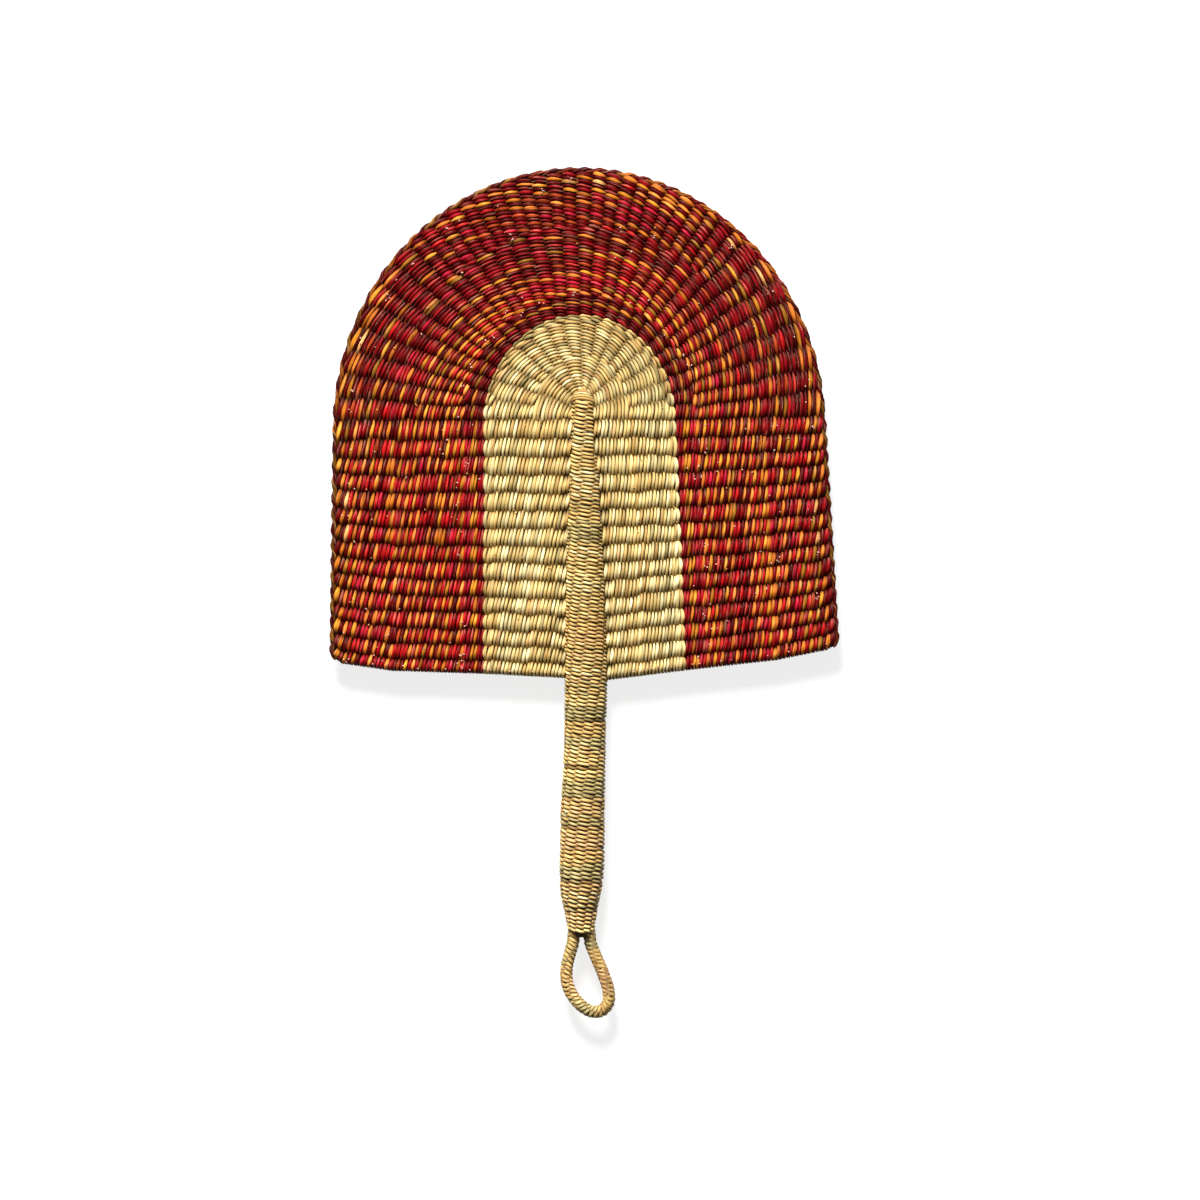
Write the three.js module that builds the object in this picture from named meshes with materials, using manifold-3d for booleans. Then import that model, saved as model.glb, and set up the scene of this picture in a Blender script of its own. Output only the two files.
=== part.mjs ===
// Woven grass hand fan. Spokes leave the handle bundle and carry U-shaped courses of twined
// straw. Units are millimetres. X runs across, Y from the loop to the top of the blade, Z up.
import * as THREE from 'three';
import { mergeVertices } from 'three/addons/utils/BufferGeometryUtils.js';
import Module from 'manifold-3d';

const wasm = await Module();
wasm.setup();

// Blade: a radius is half a course's width, measured where its arch meets its sides
const clearance = 0.3;            // between two pieces that touch on the real fan
const bandGap = 0.8;              // between two fields of weft, where the spokes split
const handleGap = 0.6;            // between the handle and the first course beside it
const strawSplitRadius = 24;      // arch spokes split into two
const strawOuterRadius = 47.5;    // end of the straw coloured field
const crimsonRadius = 58;         // end of the plain crimson courses
const dyedSplitRadius = 92.5;     // last split of the arch spokes
const weftOuterRadius = 120.2;    // end of the twined field, at the edge cord
const edgeCordRadius = 1.5;       // half the edge cord's width
const edgeCordHalfHeight = 2.4;
const edgeCordSteps = 56;
const edgeCordSides = 6;
const crestThickness = 6.5;       // weft over a spoke
const valleyThickness = 3.6;      // weft between two spokes
const spokeThickness = 2;         // flat bundle of stalks
const sideRibs = 15;              // on each side of the handle
const archRibs = 8;               // spokes round the top, before they split
const archTunnelShare = 0.9;      // of a rib's width, open for its spoke
const sideTunnelShare = 0.62;
const spokeSlack = 0.035;         // of a rib's width, beside its spoke
const splitRootShare = 0.8;       // of a spoke's thickness, where it has just split

// The arch of each course: its middle, and how much higher it is than half its width. The first
// course is centred on the handle's top end.
const archShape = {
  radii: [strawOuterRadius, 124],
  middleX: [-2.6, -2.9],
  middleY: [-1.5, -6.5],
  stretch: [5, 8],
};

// Lower edge of the blade, below the blade's datum, at growing radius
const lowerEdge = {
  radii: [0, strawOuterRadius, 92.5, 117, 124],
  right: [132, 126.5, 121.3, 116.3, 111.5],
  left: [130.5, 128.1, 126.6, 123, 117],
};

// The first courses follow the handle, and the outer ones lean out this far on the way down
const sideLean = {
  radii: [strawOuterRadius, 124],
  right: [5.3, 6.9],
  left: [0.2, 1.6],
};

// Handle, from its top end down: distance along Y, middle in X, half width of the binding
const handleStations = [
  [8.5, -1.25, 5.7], [-12, -1.1, 6.4], [-32, -0.2, 7.9], [-77, 0, 10], [-125, 0.6, 11],
  [-162, 0, 10.6], [-198, -1.2, 11.3], [-222, -1.5, 11.5], [-234, -1.9, 11], [-241, -2.1, 9.8],
  [-247, -2, 8.5], [-254, -1.9, 7.2], [-260, -1.8, 6.6],
];
const bindingThickness = 2.2;
const bindingEnds = [-151, -204, -231, -246]; // seams between the stretches of binding
const handleStakes = 8;                       // stakes that show through the binding as flutes
const fluteDepth = 0.35;
const coreSides = 8;
const handleAxisHeight = 10.7;                // the grip's fattest stretch lies flat on Z = 0

// Loop: a stiff teardrop below the neck, wound with cord
const loopCoreRadius = 2.1;
const loopCordWidth = 1.4;
const loopCordThickness = 1.1;
const loopTurns = 20;
const loopTurnSteps = 10;
const loopCordSides = 5;
const loopRoute = [                           // centre line, from the neck's left side round
  [-5.8, -260.4], [-5.9, -262.2], [-7.3, -267.3], [-9.2, -275.5], [-9, -282.5], [-6.5, -288.8],
  [-2.2, -294], [3.2, -297.2], [8.3, -296.8], [11.6, -292.8], [11.8, -287], [9.1, -278.2],
  [4.9, -268.5], [2.6, -262.2], [2.4, -260.4],
];
const loopCoreSteps = 40;
const loopCoreSides = 8;

const straw = new THREE.Color(0xd9b978);
const strawShade = new THREE.Color(0xc2a766);
const crimson = new THREE.Color(0x8c1622);
const dyedRed = new THREE.Color(0xa8331c);
const dyedRust = new THREE.Color(0xa04a1c);
const maroon = new THREE.Color(0x5e1a18);
const stalk = new THREE.Color(0xc9aa6a);

const fan = new THREE.Group();
const fanGroup = new THREE.Group();
fan.add(fanGroup);

function addPart(name, geometry, color, roughness = 0.7) {
  const material = new THREE.MeshStandardMaterial({ color, roughness, metalness: 0 });
  const mesh = new THREE.Mesh(geometry, material);
  mesh.name = name;
  mesh.geometry.computeVertexNormals();
  fanGroup.add(mesh);
}

// Value at x on a curve given by matching lists of places and values
function interpolate(places, values, x) {
  let i = 0;
  while (i < places.length - 2 && x > places[i + 1]) i += 1;
  const share = (x - places[i]) / (places[i + 1] - places[i]);
  return values[i] + share * (values[i + 1] - values[i]);
}

// Half width and middle of the handle's binding at a place along Y
const stationYs = handleStations.map((s) => -s[0]);
const bindingHalf = (y) => interpolate(stationYs, handleStations.map((s) => s[2]), -y);
const handleMiddle = (y) => interpolate(stationYs, handleStations.map((s) => s[1]), -y);
const coreHalf = (y) => bindingHalf(y) - bindingThickness - clearance;
const handleTop = handleStations[0][0];
const handleEnd = handleStations[handleStations.length - 1][0];

const innerRadius = bindingHalf(handleTop) + handleGap;

// Value at a radius that starts at a first course's and follows a curve from the straw field out
function blend(radius, first, curve) {
  const share = (radius - innerRadius) / (strawOuterRadius - innerRadius);
  if (share < 1) return first + (curve[0] - first) * share;
  return interpolate(archShape.radii, curve, radius);
}

// Point of the blade at a radius and at a place along a course. The place counts ribs: the right
// side from its lower edge, the arch from right to left, and the left side down again.
function bladePoint(radius, place) {
  const middleX = blend(radius, handleMiddle(handleTop), archShape.middleX);
  const middleY = blend(radius, handleTop, archShape.middleY);
  const archEnd = sideRibs + archRibs;
  if (place >= sideRibs && place <= archEnd) {
    const angle = (Math.PI * (place - sideRibs)) / archRibs;
    const height = radius + blend(radius, 0, archShape.stretch);
    return [middleX + radius * Math.cos(angle), middleY + height * Math.sin(angle)];
  }
  const onRight = place < sideRibs;
  const down = onRight ? 1 - place / sideRibs : (place - archEnd) / sideRibs;
  const sign = onRight ? 1 : -1;
  const drops = onRight ? lowerEdge.right : lowerEdge.left;
  const besideY = handleTop - (drops[0] + handleTop) * down;
  const besideX = handleMiddle(besideY) + sign * (bindingHalf(besideY) + handleGap);
  const handleLean = sign * (besideX - handleMiddle(handleTop)) - innerRadius;
  const leans = (onRight ? sideLean.right : sideLean.left).map((lean) => lean * down);
  const lean = blend(radius, handleLean, leans);
  const edge = -interpolate(lowerEdge.radii, drops, radius);
  return [middleX + sign * (radius + lean), middleY + (edge - middleY) * down];
}

// Ribs of a field of weft: start, end and tunnel share of each, along a course
function ribsOf(archSplits) {
  const ribs = [];
  for (let k = 0; k < sideRibs; k += 1) ribs.push([k, k + 1, sideTunnelShare]);
  for (let k = 0; k < archRibs; k += 1) {
    const prongs = archSplits(k);
    for (let j = 0; j < prongs; j += 1) {
      ribs.push([sideRibs + k + j / prongs, sideRibs + k + (j + 1) / prongs, archTunnelShare]);
    }
  }
  for (let k = 0; k < sideRibs; k += 1) {
    ribs.push([sideRibs + archRibs + k, sideRibs + archRibs + k + 1, sideTunnelShare]);
  }
  return ribs;
}

const halfTunnel = spokeThickness / 2 + clearance;

// A field of weft: a ribbed strip with a tunnel for each spoke, bent round the handle's top. Each
// rib has the same ten points on the strip's inner and outer edge: the valleys beside it, its
// crests, and the lozenge of its tunnel.
function weftField(innerEdge, outerEdge, archSplits) {
  const ribs = ribsOf(archSplits);
  const crest = crestThickness / 2;
  const valley = valleyThickness / 2;
  const positions = [];
  const point = (radius, place, z) => {
    positions.push(...bladePoint(radius, place), z);
    return positions.length / 3 - 1;
  };
  const border = (place) => [innerEdge, outerEdge].map((radius) => ({
    top: point(radius, place, valley),
    bottom: point(radius, place, -valley),
  }));
  const index = [];
  const quad = (a, b, c, d) => index.push(a, b, c, a, c, d);
  const endWall = (edge) => quad(edge[0].top, edge[0].bottom, edge[1].bottom, edge[1].top);
  let before = border(ribs[0][0]);
  endWall(before);
  for (const [start, end, share] of ribs) {
    const middle = (start + end) / 2;
    const half = ((end - start) * share) / 2;
    const after = border(end);
    const rib = [innerEdge, outerEdge].map((radius) => ({
      crestTop: point(radius, middle, crest),
      crestBottom: point(radius, middle, -crest),
      near: point(radius, middle - half, 0),
      far: point(radius, middle + half, 0),
      roof: point(radius, middle, halfTunnel),
      sole: point(radius, middle, -halfTunnel),
    }));
    [0, 1].forEach((layer) => {
      const r = rib[layer];
      const face = [
        [before[layer].top, r.near, before[layer].bottom], [before[layer].bottom, r.near, r.crestBottom],
        [r.crestBottom, r.near, r.sole], [r.crestBottom, r.sole, r.far],
        [r.crestBottom, r.far, after[layer].bottom], [after[layer].bottom, r.far, after[layer].top],
        [after[layer].top, r.far, r.crestTop], [r.crestTop, r.far, r.roof],
        [r.crestTop, r.roof, r.near], [r.crestTop, r.near, before[layer].top],
      ];
      face.forEach(([a, b, c]) => index.push(...(layer === 0 ? [a, b, c] : [a, c, b])));
    });
    const [low, high] = rib;
    quad(before[0].top, before[1].top, high.crestTop, low.crestTop);
    quad(low.crestTop, high.crestTop, after[1].top, after[0].top);
    quad(before[1].bottom, before[0].bottom, low.crestBottom, high.crestBottom);
    quad(high.crestBottom, low.crestBottom, after[0].bottom, after[1].bottom);
    quad(high.near, high.sole, low.sole, low.near);
    quad(high.sole, high.far, low.far, low.sole);
    quad(high.far, high.roof, low.roof, low.far);
    quad(high.roof, high.near, low.near, low.roof);
    before = after;
  }
  quad(before[0].bottom, before[0].top, before[1].top, before[1].bottom);
  const geometry = new THREE.BufferGeometry();
  geometry.setAttribute('position', new THREE.BufferAttribute(new Float32Array(positions), 3));
  geometry.setIndex(index);
  return closed(geometry);
}

// Merged copy of a geometry, turned outside out where it came inside out
function closed(geometry) {
  geometry.deleteAttribute('normal');
  geometry.deleteAttribute('uv');
  const merged = mergeVertices(geometry, 1e-5);
  const index = merged.index.array;
  const at = (k) => new THREE.Vector3().fromBufferAttribute(merged.attributes.position, index[k]);
  let volume = 0;
  for (let i = 0; i < index.length; i += 3) volume += at(i).dot(at(i + 1).cross(at(i + 2)));
  if (volume < 0) {
    for (let i = 0; i < index.length; i += 3) {
      const first = index[i];
      index[i] = index[i + 1];
      index[i + 1] = first;
    }
  }
  return merged;
}

function toManifold(geometry) {
  const merged = closed(geometry);
  return new wasm.Manifold(new wasm.Mesh({
    numProp: 3,
    vertProperties: Float32Array.from(merged.attributes.position.array),
    triVerts: Uint32Array.from(merged.index.array),
  }));
}

function fromManifold(solid) {
  const mesh = solid.getMesh();
  const geometry = new THREE.BufferGeometry();
  geometry.setAttribute('position', new THREE.BufferAttribute(Float32Array.from(mesh.vertProperties), 3));
  geometry.setIndex(new THREE.BufferAttribute(Uint32Array.from(mesh.triVerts), 1));
  return geometry;
}

// Closed skin over rings of points, all with the same count
function skin(rings) {
  const count = rings[0].length;
  const points = rings.flat();
  const index = [];
  for (let i = 0; i < rings.length - 1; i += 1) {
    for (let j = 0; j < count; j += 1) {
      const a = i * count + j;
      const b = i * count + ((j + 1) % count);
      index.push(a, b, b + count, a, b + count, a + count);
    }
  }
  const last = (rings.length - 1) * count;
  for (let j = 1; j < count - 1; j += 1) {
    index.push(0, j + 1, j);
    index.push(last, last + j, last + j + 1);
  }
  const geometry = new THREE.BufferGeometry();
  geometry.setAttribute('position', new THREE.BufferAttribute(new Float32Array(points.flat()), 3));
  geometry.setIndex(index);
  return closed(geometry);
}

// One prong of a spoke: a flat lozenge section that runs outwards through the given radii. Where
// it leaves a wider bundle it starts thinner than that one.
function prong(radii, start, end, share, rootShare = 1) {
  const shrink = (spokeThickness / 2) / halfTunnel;
  const middle = (start + end) / 2;
  const half = ((end - start) * (share * shrink - spokeSlack)) / 2;
  const ring = (radius) => {
    const high = (spokeThickness / 2) * (radius === radii[0] ? rootShare : 1);
    return [
      [...bladePoint(radius, middle - half), 0], [...bladePoint(radius, middle), high],
      [...bladePoint(radius, middle + half), 0], [...bladePoint(radius, middle), -high],
    ];
  };
  return skin(radii.map(ring));
}

// Fields of weft, from the handle outwards: name, outer radius, prongs of each arch spoke
const topSplits = (k) => (k >= archRibs / 4 && k < (3 * archRibs) / 4 ? 6 : 4);
const fields = [
  ['weft_straw_inner', strawSplitRadius, () => 1, straw],
  ['weft_straw_outer', strawOuterRadius, () => 2, strawShade],
  ['weft_crimson', crimsonRadius, () => 3, crimson],
  ['weft_dyed_inner', dyedSplitRadius, () => 4, dyedRed],
  ['weft_dyed_outer', weftOuterRadius, topSplits, dyedRust],
];

function addWeft() {
  let inner = innerRadius;
  fields.forEach(([name, outer, splits, color], i) => {
    const outerEdge = i === fields.length - 1 ? outer : outer - bandGap / 2;
    addPart(name, weftField(inner, outerEdge, splits), color);
    inner = outer + bandGap / 2;
  });
}

// Closed length of handle. inset moves its surface in, and flute gives the stakes' depth. A
// length that starts at the handle's top is domed.
function handleLength(fromY, toY, inset, sides, flute) {
  const rings = [];
  const ring = (y, radius) => Array.from({ length: sides }, (_, j) => {
    const angle = (2 * Math.PI * (j + 0.5)) / sides;
    const r = radius * (1 - (flute / radius) * (j % 2));
    return [handleMiddle(Math.min(y, handleTop)) + r * Math.cos(angle), y, r * Math.sin(angle)];
  });
  if (fromY >= handleTop) {
    const radius = bindingHalf(handleTop) - inset;
    for (const turn of [0.97, 0.7, 0.36]) {
      const angle = (turn * Math.PI) / 2;
      rings.push(ring(handleTop + radius * Math.sin(angle), radius * Math.cos(angle)));
    }
  }
  const start = Math.min(fromY, handleTop);
  const between = handleStations.map((station) => station[0]).filter((y) => y < start && y > toY);
  for (const y of [start, ...between, toY]) rings.push(ring(y, bindingHalf(y) - inset));
  return skin(rings);
}

function addBinding(name, fromY, toY, color, slot) {
  const sides = 2 * handleStakes;
  const overrun = 1;
  const top = fromY >= handleTop;
  const outer = toManifold(handleLength(fromY, toY, 0, sides, fluteDepth));
  const boreFrom = top ? fromY : fromY + overrun;
  const bore = toManifold(handleLength(boreFrom, toY - overrun, bindingThickness, coreSides, 0));
  const span = 4 * Math.max(...handleStations.map((station) => station[2]));
  const floor = new THREE.BoxGeometry(span, 2 * (fromY - toY) + span, span);
  floor.translate(0, fromY, -handleAxisHeight - span / 2);
  let solid = outer.subtract(bore).subtract(toManifold(floor));
  if (slot) {
    const lengthCut = handleTop + span - slot;
    const cut = new THREE.BoxGeometry(span, lengthCut, 2 * halfTunnel);
    cut.translate(0, slot + lengthCut / 2, 0);
    solid = solid.subtract(toManifold(cut));
  }
  addPart(name, fromManifold(solid), color);
}

function addHandle() {
  const core = handleLength(handleTop, handleEnd, bindingThickness + clearance, coreSides, 0);
  addPart('handle_core', core, stalk, 0.8);
  const slotEnd = -Math.max(lowerEdge.right[0], lowerEdge.left[0]) - clearance;
  addBinding('binding_blade', handleTop, bindingEnds[0], straw, slotEnd);
  const stretches = ['binding_grip_upper', 'binding_grip_middle', 'binding_grip_lower'];
  stretches.forEach((name, i) => {
    addBinding(name, bindingEnds[i] - clearance, bindingEnds[i + 1], strawShade);
  });
  addBinding('binding_neck', bindingEnds[stretches.length] - clearance, handleEnd, straw);
}

// Radius at which a side course stands at a given X
function radiusAt(place, x) {
  const [x0] = bladePoint(innerRadius, place);
  const [x1] = bladePoint(strawSplitRadius, place);
  return innerRadius + ((x - x0) / (x1 - x0)) * (strawSplitRadius - innerRadius);
}

function addSideSpokes() {
  for (const side of ['right', 'left']) {
    const sign = side === 'right' ? 1 : -1;
    for (let k = 0; k < sideRibs; k += 1) {
      const start = side === 'right' ? sideRibs - 1 - k : sideRibs + archRibs + k;
      const [, y] = bladePoint(innerRadius, start + 0.5);
      const root = radiusAt(start + 0.5, handleMiddle(y) + sign * (coreHalf(y) + clearance));
      const radii = [root, ...fields.map(([, outer]) => outer)];
      const spoke = prong(radii, start, start + 1, sideTunnelShare);
      addPart(`spoke_${side}_${String(k + 1).padStart(2, '0')}`, spoke, stalk, 0.8);
    }
  }
}

function addArchSpokes() {
  const reach = bandGap / 2 - 0.25;
  for (let k = 0; k < archRibs; k += 1) {
    let solid = null;
    let from = coreHalf(handleTop) + clearance;
    fields.forEach(([, outer, splits], i) => {
      const count = splits(k);
      const to = i === fields.length - 1 ? outer : outer + reach;
      for (let j = 0; j < count; j += 1) {
        const start = sideRibs + k + j / count;
        const rootShare = i === 0 ? 1 : splitRootShare;
        const piece = toManifold(prong([from, to], start, start + 1 / count, archTunnelShare, rootShare));
        solid = solid ? solid.add(piece) : piece;
      }
      from = outer - reach;
    });
    addPart(`spoke_arch_${k + 1}`, fromManifold(solid), stalk, 0.8);
  }
}

class CourseCurve extends THREE.Curve {
  constructor(radius) {
    super();
    this.radius = radius;
  }

  getPoint(share, target = new THREE.Vector3()) {
    const places = 2 * sideRibs + archRibs;
    const [x, y] = bladePoint(this.radius, share * places);
    return target.set(x, y, 0);
  }
}

// Rings of a tube along a list of frames: centre, two axes and the half sizes along them
function tube(frames, sides, halfWide, halfHigh) {
  return skin(frames.map(({ centre, wide, high }) => Array.from({ length: sides }, (_, j) => {
    const angle = (2 * Math.PI * j) / sides;
    return centre.clone().addScaledVector(wide, halfWide * Math.cos(angle))
      .addScaledVector(high, halfHigh * Math.sin(angle)).toArray();
  })));
}

const up = new THREE.Vector3(0, 0, 1);

function framesAlong(curve, steps) {
  return Array.from({ length: steps + 1 }, (_, i) => {
    const centre = curve.getPointAt(i / steps);
    const along = curve.getTangentAt(i / steps);
    return { centre, wide: new THREE.Vector3().crossVectors(up, along).normalize(), high: up, along };
  });
}

function addEdgeCord() {
  const course = new CourseCurve(weftOuterRadius + clearance + edgeCordRadius);
  const frames = framesAlong(course, edgeCordSteps);
  addPart('rim_border', tube(frames, edgeCordSides, edgeCordRadius, edgeCordHalfHeight), maroon);
}

function addLoop() {
  const route = new THREE.CatmullRomCurve3(loopRoute.map(([x, y]) => new THREE.Vector3(x, y, 0)));
  const coreFrames = framesAlong(route, loopCoreSteps);
  addPart('loop_core', tube(coreFrames, loopCoreSides, loopCoreRadius, loopCoreRadius), stalk);
  const steps = loopTurns * loopTurnSteps;
  const middle = loopCoreRadius + clearance + loopCordThickness / 2;
  const margin = 0.03;
  const centres = [];
  for (let i = 0; i <= steps; i += 1) {
    const share = margin + ((1 - 2 * margin) * i) / steps;
    const along = route.getTangentAt(share);
    const across = new THREE.Vector3().crossVectors(up, along).normalize();
    const angle = (2 * Math.PI * i) / loopTurnSteps;
    const out = across.clone().multiplyScalar(Math.cos(angle)).addScaledVector(up, Math.sin(angle));
    centres.push({ centre: route.getPointAt(share).addScaledVector(out, middle), high: out });
  }
  const frames = centres.map(({ centre, high }, i) => {
    const before = centres[Math.max(0, i - 1)].centre;
    const after = centres[Math.min(steps, i + 1)].centre;
    const along = after.clone().sub(before).normalize();
    return { centre, high, wide: new THREE.Vector3().crossVectors(high, along).normalize() };
  });
  const cord = tube(frames, loopCordSides, loopCordWidth / 2, loopCordThickness / 2);
  addPart('loop_wrap', cord, strawShade);
  console.log(`least gap between turns of the loop's cord: ${leastTurnGap(frames).toFixed(2)} mm`);
}

// Least distance between the edges of two neighbouring turns, measured on their points
function leastTurnGap(frames) {
  const halfWide = loopCordWidth / 2;
  const edge = (frame, sign) => frame.centre.clone().addScaledVector(frame.wide, sign * halfWide);
  const near = Math.round(loopTurnSteps / 2);
  let least = Infinity;
  for (let i = 0; i < frames.length; i += 1) {
    for (let j = i + near; j < frames.length; j += 1) {
      for (const [a, b] of [[1, 1], [1, -1], [-1, 1], [-1, -1]]) {
        least = Math.min(least, edge(frames[i], a).distanceTo(edge(frames[j], b)));
      }
    }
  }
  return least;
}

addWeft();
addHandle();
addSideSpokes();
addArchSpokes();
addEdgeCord();
addLoop();

// The floor is Z = 0, and the origin is the middle of the fan's outline
fanGroup.position.z = handleAxisHeight;
fan.updateMatrixWorld(true);
const outline = new THREE.Box3().setFromObject(fan);
const middle = outline.getCenter(new THREE.Vector3());
fanGroup.position.x -= middle.x;
fanGroup.position.y -= middle.y;
fan.updateMatrixWorld(true);

export default fan;
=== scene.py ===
import bpy
import math
import numpy as np
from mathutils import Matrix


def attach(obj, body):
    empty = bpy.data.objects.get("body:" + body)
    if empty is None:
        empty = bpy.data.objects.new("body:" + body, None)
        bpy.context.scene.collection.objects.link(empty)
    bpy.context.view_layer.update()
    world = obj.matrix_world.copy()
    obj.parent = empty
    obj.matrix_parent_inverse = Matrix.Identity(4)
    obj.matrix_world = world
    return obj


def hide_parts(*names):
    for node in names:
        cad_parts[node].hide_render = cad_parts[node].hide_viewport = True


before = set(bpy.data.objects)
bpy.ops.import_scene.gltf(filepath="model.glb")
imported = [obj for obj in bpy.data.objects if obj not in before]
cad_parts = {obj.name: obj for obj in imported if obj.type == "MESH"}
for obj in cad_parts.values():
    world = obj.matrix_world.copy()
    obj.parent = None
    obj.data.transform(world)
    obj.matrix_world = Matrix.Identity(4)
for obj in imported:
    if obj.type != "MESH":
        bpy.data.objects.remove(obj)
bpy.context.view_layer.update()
bpy.ops.object.select_all(action="DESELECT")
chance = np.random.default_rng(7)
mm = 0.001

# The fan's own drawing has its zero where the stalks fan out, so every point below is moved by this much.
drawingShift = {"x": 0.24625, "y": 87.88787, "z": 10.7}
intoFrame = np.array(list(drawingShift.values()))
upward = np.array([0.0, 0.0, 1.0])


# camera, floor and lamps

stage = {
    # metres and watts; the floor's lift is its own glow, which only the camera sees
    "cameraHeight": 4.0, "sensorWidth": 36, "frameWidth": 0.6, "aimX": 0.00775, "aimY": -0.00361,
    "floorSize": 6.0, "floorColour": "#a2a19f", "floorLift": 0.8, "skyStrength": 0.13,
    "lampPower": 137.0, "lampSize": 0.9, "lampPlace": (-0.4, 2.2, 1.65),
}


def linear(hexColour, alpha=1.0):
    parts = [int(hexColour[i:i + 2], 16) / 255 for i in (1, 3, 5)]
    return [p / 12.92 if p <= 0.04045 else ((p + 0.055) / 1.055) ** 2.4 for p in parts] + [alpha]


def addNode(tree, kind, settings=None, values=None, links=None):
    node = tree.nodes.new(kind)
    for name, value in (settings or {}).items():
        setattr(node, name, value)
    for name, value in (values or {}).items():
        node.inputs[name].default_value = value
    for name, source in (links or {}).items():
        tree.links.new(source, node.inputs[name])
    return node


def newMaterial(name):
    material = bpy.data.materials.new(name)
    material.use_nodes = True
    material.node_tree.nodes.clear()
    return material, material.node_tree


def addStage():
    bpy.ops.object.camera_add(location=(stage["aimX"], stage["aimY"], stage["cameraHeight"]))
    camera = bpy.context.object
    camera.data.sensor_width = stage["sensorWidth"]
    toFan = stage["cameraHeight"] - drawingShift["z"] * mm
    camera.data.lens = stage["sensorWidth"] * toFan / stage["frameWidth"]
    bpy.context.scene.camera = camera
    bpy.ops.mesh.primitive_plane_add(size=stage["floorSize"], location=(0, 0, 0))
    floor = bpy.context.object
    floor.name = "floor"
    material, tree = newMaterial("matt white paper floor")
    ray = addNode(tree, "ShaderNodeLightPath")
    seen = addNode(tree, "ShaderNodeMath", {"operation": "MAXIMUM"},
                   links={0: ray.outputs["Is Camera Ray"], 1: ray.outputs["Is Glossy Ray"]})
    lift = addNode(tree, "ShaderNodeMath", {"operation": "MULTIPLY"}, {1: stage["floorLift"]},
                   {0: seen.outputs[0]})
    paper = addNode(tree, "ShaderNodeBsdfDiffuse", values={"Color": linear(stage["floorColour"])})
    glow = addNode(tree, "ShaderNodeEmission", values={"Color": (1, 1, 1, 1)},
                   links={"Strength": lift.outputs[0]})
    both = addNode(tree, "ShaderNodeAddShader", links={0: paper.outputs[0], 1: glow.outputs[0]})
    addNode(tree, "ShaderNodeOutputMaterial", links={"Surface": both.outputs[0]})
    floor.data.materials.append(material)
    x, y, z = stage["lampPlace"]
    bpy.ops.object.light_add(type="AREA", location=stage["lampPlace"])
    lamp = bpy.context.object
    lamp.data.energy = stage["lampPower"]
    lamp.data.size = stage["lampSize"]
    lamp.rotation_euler = (-math.atan2(y, z), math.atan2(x, math.hypot(y, z)), 0)
    world = bpy.context.scene.world or bpy.data.worlds.new("World")
    bpy.context.scene.world = world
    world.use_nodes = True
    sky = world.node_tree.nodes["Background"]
    sky.inputs["Color"].default_value = (1, 1, 1, 1)
    sky.inputs["Strength"].default_value = stage["skyStrength"]
    bpy.context.scene.view_settings.view_transform = "Standard"
    bpy.ops.object.select_all(action="DESELECT")


addStage()
print("camera, floor and lamp are set")


# the straw's finish

strawFinish = {
    "roughness": 0.5, "streaksPerStrand": 2.2, "streakLength": 34, "streakScale": 3.0,  # length in mm
    "streakRange": (0.3, 0.7),  # of the noise, from the darkest streak to the lightest
    "bareRange": (0.56, 0.76),  # of the noise, from dyed straw to bare straw
    "bump": 0.5, "bumpDepth": 0.0002, "bare": "#ffe2b4",
}


def strawMaterial(name, streakDark, streakLight, bareShare, gloss, finish=strawFinish):
    # split grass stems with their waxy skin outside: soft gloss along the fibres, lengthwise streaks of
    # several fine straws side by side, the brightest of them pale where no dye has taken; on dyed straw these light
    # streaks are also painted sheen, in place of the low gloss
    material, tree = newMaterial(name)
    dye = addNode(tree, "ShaderNodeAttribute", {"attribute_name": "dye"})
    strandMap = addNode(tree, "ShaderNodeUVMap", {"uv_map": "strand"})
    along = addNode(tree, "ShaderNodeMapping", links={"Vector": strandMap.outputs[0]},
                    values={"Scale": (1 / finish["streakLength"], finish["streaksPerStrand"], 1)})
    streaks = addNode(tree, "ShaderNodeTexNoise", links={"Vector": along.outputs[0]},
                      values={"Scale": finish["streakScale"], "Detail": 3.0, "Roughness": 0.6})
    darkest, lightest = finish["streakRange"]
    depth = addNode(tree, "ShaderNodeMapRange", links={"Value": streaks.outputs["Fac"]},
                    values={"From Min": darkest, "From Max": lightest, "To Min": streakDark, "To Max": streakLight})
    tone = addNode(tree, "ShaderNodeVectorMath", {"operation": "SCALE"},
                   links={0: dye.outputs["Color"], "Scale": depth.outputs[0]})
    dyed, undyed = finish["bareRange"]
    bare = addNode(tree, "ShaderNodeMapRange", links={"Value": streaks.outputs["Fac"]},
                   values={"From Min": dyed, "From Max": undyed, "To Min": 0.0, "To Max": bareShare})
    mixed = addNode(tree, "ShaderNodeMix", {"data_type": "RGBA"}, links={"Factor": bare.outputs[0]})
    tree.links.new(tone.outputs[0], mixed.inputs[6])
    mixed.inputs[7].default_value = linear(finish["bare"])
    bump = addNode(tree, "ShaderNodeBump", values={"Strength": finish["bump"], "Distance": finish["bumpDepth"]},
                   links={"Height": streaks.outputs["Fac"]})
    skin = addNode(tree, "ShaderNodeBsdfPrincipled",
                   values={"Roughness": finish["roughness"], "Specular IOR Level": gloss},
                   links={"Base Color": mixed.outputs[2], "Normal": bump.outputs[0]})
    addNode(tree, "ShaderNodeOutputMaterial", links={"Surface": skin.outputs[0]})
    return material


# strands: closed flat tubes, two straws side by side with a groove between them and folded edges, the groove, edges
# and underside darkened by painted shade

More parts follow.
